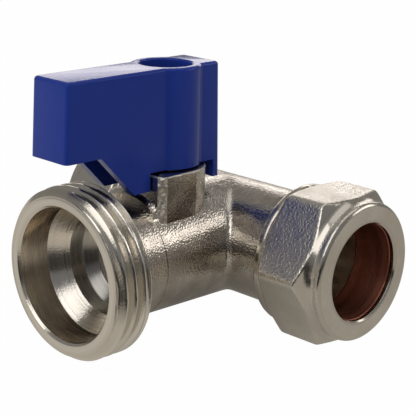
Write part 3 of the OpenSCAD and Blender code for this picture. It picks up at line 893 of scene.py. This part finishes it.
@dataclass
class CompressionNut(RunPart):
    """One compression nut: hexagon, collar, nose and thread."""

    face: float = 28.9
    length: float = 12.9
    across_flats: float = 22.4
    corner: float = 1.3
    collar_length: float = 1.45
    collar_radius: float = 11.15
    collar_edge: float = 0.35
    chamfer_length: float = 1.25
    chamfer_radius: float = 11.2
    nose_length: float = 2.5
    nose_radius: float = 10.85
    bore: float = 7.6
    bore_start: float = 28.32
    bore_edge: float = 0.25
    cone_start: float = 24.4
    cone_end: float = 27.0
    cone_end_radius: float = 8.92
    thread_radius: float = 9.96
    thread_depth: float = 0.8
    thread_end: float = 24.3
    pitch: float = 1.5

    @property
    def back(self) -> float:
        """Tells where the nut's back face lies along the run."""
        return self.face - self.length

    @property
    def hex_back(self) -> float:
        """Tells where the hexagon starts along the run."""
        return self.back + self.collar_length

    def hexagon(self) -> Solid:
        """Makes the hexagonal bar with its rounded corners, one of them towards the outlet."""
        mesh = bmesh.new()
        reach = self.across_flats / 2 / math.cos(math.radians(30))
        bmesh.ops.create_cone(mesh, cap_ends=True, segments=6, radius1=reach, radius2=reach, depth=self.length)
        tip = max(mesh.verts, key=lambda vert: vert.co.y).co
        turn = Matrix.Rotation(math.atan2(tip.x, tip.y), 3, "Z")
        bmesh.ops.rotate(mesh, cent=(0, 0, 0), matrix=turn, verts=mesh.verts)
        bmesh.ops.translate(mesh, vec=(0, 0, self.face - self.length / 2), verts=mesh.verts)
        upright = [edge for edge in mesh.edges if abs(edge.verts[0].co.z - edge.verts[1].co.z) > 1]
        round_edges(mesh, upright, self.corner * math.tan(math.radians(30)), 6)
        mesh.transform(self.lay.value)
        return Solid("hexagon", mesh)

    def outside(self) -> Solid:
        """Makes the outer form."""
        back, front = self.back + 0.01, self.face - 0.01
        hex_back, hex_front = self.hex_back, self.face - self.nose_length
        collar, neck = self.collar_radius, self.collar_radius - self.collar_edge
        corner = (self.across_flats / 2 - self.corner) / math.cos(math.radians(30)) + self.corner
        over = corner + 0.3
        outline = soften([
            (0, back), (neck, back), (collar, self.back + self.collar_edge), (collar, hex_back - 0.1),
            (neck, hex_back), (neck, hex_back + 0.2), (collar - 0.05, hex_back + 0.3),
            (over, hex_back + self.chamfer_length), (over, hex_front - self.chamfer_length),
            (self.chamfer_radius, hex_front - 0.05), (self.nose_radius - 0.15, hex_front + 0.95),
            (self.nose_radius, self.face - 0.45), (self.nose_radius - 0.5, front), (0, front)],
            {2: 0.15, 3: 0.1, 9: 1.2, 10: 1.4, 11: 0.35, 12: 0.2}, 6)
        nut = self.hexagon().work(Cut.KEEP, Solid.turned("nut_outline", outline, self.lay, steps=180))
        return nut.forge(grain=0.19, passes=3)

    def inside(self) -> Solid:
        """Makes the cutter for the thread, the olive's cone and the pipe hole."""
        back, crest, edge = self.back, self.thread_radius, self.bore_edge
        outline: list[Point] = [(0, back - 1), (crest + 0.5, back - 1), (crest + 0.5, back)]
        for height in rows(back + 0.1, self.thread_end, 0.12):
            outline.append((crest + max(0.0, 0.45 - (height - back)), height))
        outline += soften([
            (crest, self.cone_start), (self.cone_end_radius, self.cone_end), (self.bore, self.bore_start),
            (self.bore, self.face - edge), (self.bore + edge, self.face), (self.bore + 0.9, self.face + 1),
            (0, self.face + 1)], {3: 0.12, 4: 0.12})
        thread = ScrewThread(crest, self.thread_depth, self.pitch, 0.75, back + 0.15, self.thread_end - 0.05,
                             inward=True)
        return Solid.turned("nut_bore", outline, self.lay, steps=144, shape=thread.press)

    def is_turned(self, spot: Vector, normal: Vector) -> bool:
        """Tells whether a face lies on the collar, on a chamfer or in the bore."""
        return (abs(spot.x) < self.hex_back + 0.3 or 0.28 < abs(normal.x) < 0.93
                or math.hypot(spot.y - MOUTH_TO_RUN, spot.z) < self.bore + 0.6)

    def build(self) -> Piece:
        """Builds and dresses the nut."""
        nut = self.outside().work(Cut.REMOVE, self.inside())
        return nut.finish(f"{self.side}_compression_nut", f"{self.side}_nut", "nickel_nut", f"{self.side}_nut",
                          Look.NUT, [(Look.NUT_TURNED, self.is_turned)], crease=24.0)


@dataclass
class Olive(RunPart):
    """One copper olive."""

    inner: float = 7.6
    outer: float = 8.8
    back: float = 21.4
    front: float = 27.9
    slope: float = 0.9

    def build(self) -> Piece:
        """Builds and dresses the olive."""
        ring = Solid.turned("olive", soften([
            (self.inner, self.back), (self.outer - self.slope, self.back), (self.outer, self.back + self.slope),
            (self.outer, self.front - self.slope), (self.outer - self.slope, self.front), (self.inner, self.front)],
            {0: 0.08, 1: 0.08, 2: 0.35, 3: 0.35, 4: 0.08, 5: 0.1}), self.lay)
        name = f"{self.side}_olive"
        return ring.finish(f"{self.side}_copper_olive", name, "copper", name, Look.COPPER)


@dataclass
class Lever:
    """The blue moulded lever."""

    grip: float = 22.2
    tail: float = 7.75
    half: float = 4.1
    top: float = 29.5
    top_round: float = 0.55
    wall: float = 1.5
    roof: float = 1.8
    grip_depth: float = 11.6
    draft: float = 0.5
    side_draft: float = 0.12
    slope_low: float = 9.9
    slope_high: float = 16.3
    skirt: float = 11.3
    skirt_inside: float = 6.7
    low: float = 14.1
    hub: float = 5.6
    well: float = 4.1
    well_edge: float = 0.25
    well_floor: float = 21.9
    corner: float = 0.75
    cusp: float = 0.7
    screw_hole: float = 1.7
    stem_radius: float = 3.02
    stem_shoulder: float = 15.2
    stem_half: float = 2.24
    stem_top: float = 20.1

    def plan(self) -> list[Point]:
        """Draws the outline seen from above, with the hub's bulge, anticlockwise."""
        joint = self.half + self.cusp
        off = math.sqrt((self.hub + self.cusp) ** 2 - joint ** 2)
        lean = math.degrees(math.atan2(joint, off))
        hollow = arc((joint, -off), self.cusp, 180, 90 + lean, 5)
        right = hollow + arc((0, 0), self.hub, lean - 90, 90 - lean, 16)[1:-1]
        right += [(x, -y) for x, y in reversed(hollow)]
        side, front, back = self.half - self.corner, self.corner - self.grip, self.tail - self.corner
        corners = [arc(spot, self.corner, start, start + 90, 5) for spot, start in (
            ((side, front), -90), ((side, back), 0), ((-side, back), 90), ((-side, front), 180))]
        left = [(-x, y) for x, y in reversed(right)]
        return corners[0] + right + corners[1] + corners[2] + left + corners[3]

    def lean(self, spot: Vector) -> Vector:
        """Draws the sides in towards the top and leans the two ends out towards their lower edges.

        Args:
            spot: A point of the straight shell.

        Returns:
            Where it goes.
        """
        depth = self.top - self.skirt
        share = (self.top - spot.z) / depth
        spot = Vector((spot.x * (1 - self.side_draft * (1 - share) / self.half), spot.y, spot.z))
        if spot.y > self.tail - 2 * self.corner:
            return spot + Vector((0, self.draft * share, 0))
        if spot.y < -self.grip + 2 * self.corner:
            return spot + Vector((0, -self.draft * share * depth / self.grip_depth, 0))
        return spot

    def shell(self) -> Solid:
        """Makes the outer form with its rounded top edge, cut away under the grip."""
        shell = Solid.prism("lever_shell", self.plan(), self.skirt, self.top, Lay.STEM.value,
                            top_round=self.top_round, segments=5, lean=self.lean)
        upright = Matrix(((0, 0, 1, 0), (1, 0, 0, MOUTH_TO_STEM), (0, 1, 0, 0), (0, 0, 0, 1)))
        under, past = self.top - self.grip_depth, -30
        return shell.work(Cut.REMOVE, Solid.prism("under_grip", [
            (past, 5), (-self.slope_low + 6, 5), (-self.slope_low, self.skirt), (-self.slope_high, under),
            (past, under)], -8, 8, upright))

    def hollow(self) -> list[Solid]:
        """Makes the cutters for the hollow, the room for the turret, the well and the stem's socket."""
        inner, skirt, top = self.half - self.wall, self.skirt_inside, self.top
        space = Solid.block("hollow", (-inner, MOUTH_TO_STEM - self.grip + self.wall, 0),
                            (inner, MOUTH_TO_STEM, top - self.roof), rounding=0.35)
        space.work(Cut.REMOVE, Solid.tube("hub_core", 0, self.hub - 0.01, self.low - 10, 35, Lay.STEM, 96))
        room = Solid.block("turret_room", (-8, MOUTH_TO_STEM - skirt, 5), (8, MOUTH_TO_STEM + skirt, self.low))
        well = Solid.turned("well", [(0, self.well_floor), *soften([
            (self.well, self.well_floor), (self.well, top - self.well_edge), (self.well + 0.35, top + 0.1),
            (self.well + 1.2, top + 1)], {0: 0.2, 1: 0.25}), (0, top + 1)], Lay.STEM, steps=96)
        screw = Solid.tube("screw_hole", 0, self.screw_hole, 5, 30, Lay.STEM, 48)
        socket = Solid.tube("socket", 0, self.stem_radius, 5, self.stem_shoulder, Lay.STEM, 64)
        flats = Solid.tube("flats", 0, self.stem_radius, 6, self.stem_top, Lay.STEM, 64)
        flats.work(Cut.KEEP, Solid.block("flats_width", (-4, MOUTH_TO_STEM - self.stem_half, 0),
                                         (4, MOUTH_TO_STEM + self.stem_half, 25)))
        return [space, room, well, screw, socket, flats]

    def build(self) -> Piece:
        """Builds and dresses the lever."""
        lever = self.shell().work(Cut.REMOVE, *self.hollow())
        return lever.finish("blue_lever", "lever", "blue_plastic", "lever", Look.LEVER, crease=28.0)


@dataclass
class LeverScrew:
    """The pan-head screw and its washer down the lever's well."""

    floor: float = 21.9
    washer_height: float = 0.6
    washer_radius: float = 3.5
    washer_hole: float = 1.55
    head_radius: float = 2.8
    head_height: float = 2.0
    head_edge: float = 0.9
    recess_long: float = 1.5
    recess_wide: float = 0.38
    shank: float = 1.5
    tip_lead: float = 0.3
    length: float = 8.0
    thread_depth: float = 0.28
    pitch: float = 0.5

    def screw(self, seat: float) -> Solid:
        """Turns the screw and cuts its recess.

        Args:
            seat: Height of the washer's upper face.

        Returns:
            The solid.
        """
        tip, edge, top = seat - self.length, seat + self.head_edge, seat + self.head_height
        outline: list[Point] = [(0, tip), (self.shank - self.tip_lead, tip)]
        outline += [(self.shank, height) for height in rows(tip + self.tip_lead, seat - 0.4, 0.08)]
        outline += soften([
            (self.shank, seat), (self.head_radius, seat), (self.head_radius, edge),
            (self.head_radius * 0.55, top), (0, top)], {1: 0.1, 2: 0.6, 3: 0.5}, 5)
        thread = ScrewThread(self.shank, self.thread_depth, self.pitch, tip, tip + self.tip_lead, seat - 0.5)
        screw = Solid.turned("screw", outline, Lay.STEM, steps=72, shape=thread.press)
        long, wide = self.recess_long, self.recess_wide
        for turn in (0, 90):
            place = Lay.STEM.value @ Matrix.Rotation(math.radians(turn), 4, "Z")
            screw.work(Cut.REMOVE, Solid.prism(
                "recess", [(-long, -wide), (long, -wide), (long, wide), (-long, wide)], edge, seat + 3, place))
        return screw

    def washer(self, seat: float) -> Solid:
        """Turns the washer up to its upper face at the seat."""
        return Solid.turned("washer", soften([
            (self.washer_hole, self.floor), (self.washer_radius, self.floor), (self.washer_radius, seat),
            (self.washer_hole, seat)], {1: 0.08, 2: 0.2, 3: 0.05}), Lay.STEM, steps=72)

    def build(self) -> None:
        """Builds and dresses the screw and its washer."""
        seat = self.floor + self.washer_height
        self.screw(seat).finish("pan_head_screw", "lever", "zinc_steel", "lever_screw", Look.ZINC)
        self.washer(seat).finish("plain_washer", "lever", "zinc_steel", "screw_washer", Look.ZINC)


@dataclass
class InnerParts:
    """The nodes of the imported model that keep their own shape."""

    def build(self, nodes: dict[str, Piece]) -> None:
        """Dresses each node.

        Args:
            nodes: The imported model's nodes.
        """
        dress = {
            "ball": Look.CHROME, "stem": Look.BRASS, "outlet_seat": Look.SEAL,
            "inlet_seat": Look.SEAL, "thrust_washer": Look.SEAL,
            "lower_o_ring": Look.RUBBER, "upper_o_ring": Look.RUBBER,
        }
        for name, look in dress.items():
            nodes[name].data.materials.clear()
            nodes[name].data.materials.append(look.value.build())
            LOG.info("%s: dressed", name)


@dataclass
class Studio:
    """Floor, lights, world and camera. Brightness is 1 for white."""

    floor_height: float = -0.01325
    azimuth: float = 43.90
    elevation: float = 16.68
    distance: float = 0.2026
    target: tuple[float, float, float] = (-0.00397, 0.035, 0.00274)
    roll: float = 1.53
    lens: float = 104.22
    shift: float = -0.0031

    def camera(self) -> None:
        """Sets up the camera at the photograph's place."""
        turn, lift, roll = (math.radians(angle) for angle in (self.azimuth, self.elevation, self.roll))
        ahead = Vector((-math.sin(turn) * math.cos(lift), math.cos(turn) * math.cos(lift), -math.sin(lift)))
        right = ahead.cross(Vector((0, 0, 1))).normalized()
        up = right.cross(ahead)
        across = right * math.cos(roll) + up * math.sin(roll)
        above = up * math.cos(roll) - right * math.sin(roll)
        place = Vector(self.target) - ahead * self.distance
        data = bpy.data.cameras.new("camera")
        data.sensor_width = 36.0
        data.lens = self.lens
        data.shift_x = self.shift
        data.clip_start = 0.01
        data.clip_end = 20.0
        camera = bpy.data.objects.new("camera", data)
        camera.matrix_world = Matrix.Translation(place) @ Matrix((across, above, -ahead)).transposed().to_4x4()
        bpy.context.scene.collection.objects.link(camera)
        bpy.context.scene.camera = camera

    @staticmethod
    def rays(board: Board) -> tuple[Socket, Socket]:
        """Tells the rays that the camera sees, also through glass, from those that bright metal mirrors."""
        path = board.add("LightPath").outputs
        seen = board.math("ADD", path["Is Camera Ray"], path["Is Transmission Ray"], clamp=True)
        return seen, path["Is Glossy Ray"]

    def floor(self) -> None:
        """Lays a pale floor, evenly bright to the camera, which glows with painted light for bright metal: a painted
        shadow round the valve, painted shade in front of it and painted light towards the left front.
        """
        mesh = bmesh.new()
        bmesh.ops.create_circle(mesh, cap_ends=True, segments=96, radius=3.0)
        bmesh.ops.translate(mesh, vec=(0, 0.03, self.floor_height), verts=mesh.verts)
        floor = place_mesh("floor", mesh)
        sheet = Sheet.start("pale_floor")
        sheet.set(Base_Color=(0.66, 0.63, 0.58, 1), Roughness=0.9)
        board = sheet.board
        seen, mirrored = self.rays(board)
        spot = board.add("TexCoord").outputs["Object"]
        ahead, across, left = (
            board.vectors("DOT_PRODUCT", spot, way, "Value") for way in (TO_CAMERA, TO_RIGHT, TO_LEFT_FRONT))
        slant = board.math("DIVIDE", board.math("ABSOLUTE", across), board.math("MAXIMUM", ahead, 0.001))
        # Painted shade: a wedge of floor in front of the valve that bright metal mirrors dark.
        shade = board.math("MULTIPLY", board.spread(ahead, 0.014, 0.03), board.spread(slant, 0.45, 0.8, 1.0, 0.0))
        shade = board.math("MULTIPLY", shade, mirrored)
        # Painted light: the mirrored floor is brighter towards the left front.
        painted_far_light = board.blend(board.spread(left, -0.05, 0.01), (0.42, 0.40, 0.365), (0.58, 0.55, 0.50))
        # Painted shadow: a dark pool round the valve in the mirrored floor.
        reach = board.vectors("DISTANCE", spot, (0.003, 0.027, 0.0), "Value")
        painted_shadow_pool = board.blend(board.spread(reach, 0.010, 0.030), (0.115, 0.108, 0.097), painted_far_light)
        painted_shadow_pool = board.blend(shade, painted_shadow_pool, (0.04, 0.04, 0.04))
        lit = board.math("MAXIMUM", board.math("MULTIPLY", seen, 0.985), mirrored)
        bright = board.blend(mirrored, (1.0, 1.0, 1.0), painted_shadow_pool)
        # The floor glows with this painted light for mirrored rays, and nearly plain white, keeping a faint real
        # shadow, for the camera.
        painted_glow = board.add("Emission", {"Color": bright, "Strength": 1.0}).outputs[0]
        mix = board.add("MixShader", {0: board.math("MAXIMUM", lit, shade), 1: sheet.shader.outputs[0], 2: painted_glow})
        output = next(node for node in board.tree.nodes if node.type == "OUTPUT_MATERIAL")
        board.feed(output.inputs[0], mix.outputs[0])
        floor.data.materials.append(sheet.material)

    def lamp(self, name: str, towards: Sequence[float], away: float, size: Sequence[float], level: float,
             tint: Sequence[float] = (1.0, 1.0, 1.0), mirrored: bool = True) -> None:
        """Hangs one soft light.

        Args:
            name: Plain name of the light.
            towards: Direction from the valve to the light.
            away: Its distance in metres.
            size: Its width and height in metres.
            level: Its brightness, where 1 is white.
            tint: Its colour.
            mirrored: Whether bright metal shows it.
        """
        data = bpy.data.lights.new(name, "AREA")
        data.shape = "RECTANGLE"
        data.size, data.size_y = size
        data.energy = level * math.pi * size[0] * size[1]
        data.color = tint
        lamp = bpy.data.objects.new(name, data)
        way = Vector(towards).normalized()
        lamp.location = Vector((0, 0.03, 0)) + way * away
        lamp.rotation_euler = way.to_track_quat("Z", "Y").to_euler()
        lamp.visible_glossy = mirrored
        bpy.context.scene.collection.objects.link(lamp)

    def lamps(self) -> None:
        """Hangs the lights."""
        self.lamp("back_left_panel", (-0.66, 0.69, 0.29), 0.7, (0.7, 0.16), 2.1, (1.0, 0.95, 0.93))
        self.lamp("back_right_panel", (0.55, 0.69, 0.47), 0.7, (0.4, 0.22), 1.9, (1.0, 0.97, 0.94))
        self.lamp("fill_panel", (-0.65, -0.85, 0.08), 0.7, (0.6, 0.4), 2.5, mirrored=False)
        self.lamp("front_panel", (0.12, -0.62, 0.78), 0.6, (0.5, 0.5), 1.5)
        self.lamp("ceiling_panel", (0.0, 0.2, 1.0), 0.6, (0.5, 0.5), 0.6)

    def world(self) -> None:
        """Sets the world: white to the camera, a dim room in bright metal and a plain grey light."""
        world = bpy.data.worlds.new("studio")
        bpy.context.scene.world = world
        world.use_nodes = True
        world.node_tree.nodes.clear()
        board = Board(world.node_tree)
        seen, mirrored = self.rays(board)
        way = board.add("TexCoord").outputs["Generated"]
        lift = board.add("SeparateXYZ", {0: way}).outputs[2]
        side = board.vectors("DOT_PRODUCT", way, TO_CAMERA, "Value")
        shade = board.math("MULTIPLY", board.spread(side, 0.70, 0.88), board.spread(lift, 0.12, 0.22, 1.0, 0.0))
        room = board.blend(board.spread(side, -1.0, 1.0), (0.26, 0.25, 0.235), (0.20, 0.205, 0.22))
        room = board.blend(shade, room, (0.035, 0.032, 0.03))
        colour = board.blend(mirrored, (0.50, 0.49, 0.48), room)
        colour = board.blend(seen, colour, (1.0, 1.0, 1.0))
        background = board.add("Background", {"Color": colour, "Strength": 1.0})
        board.add("OutputWorld", {0: background.outputs[0]})

    def build(self) -> None:
        """Builds the whole studio."""
        self.camera()
        self.floor()
        self.lamps()
        self.world()
        bpy.context.scene.view_settings.view_transform = "Standard"


def main() -> None:
    """Builds the valve and its studio, and reports each piece."""
    logging.basicConfig(level=logging.INFO, format="%(message)s")
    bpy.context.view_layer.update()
    TeeBody().build()
    SeatRetainer().build()
    for side in RUN_ENDS:
        CompressionNut(side).build()
        Olive(side).build()
    Lever().build()
    LeverScrew().build()
    InnerParts().build(frame["nodes"])
    Studio().build()


if __name__ == "__main__":
    main()
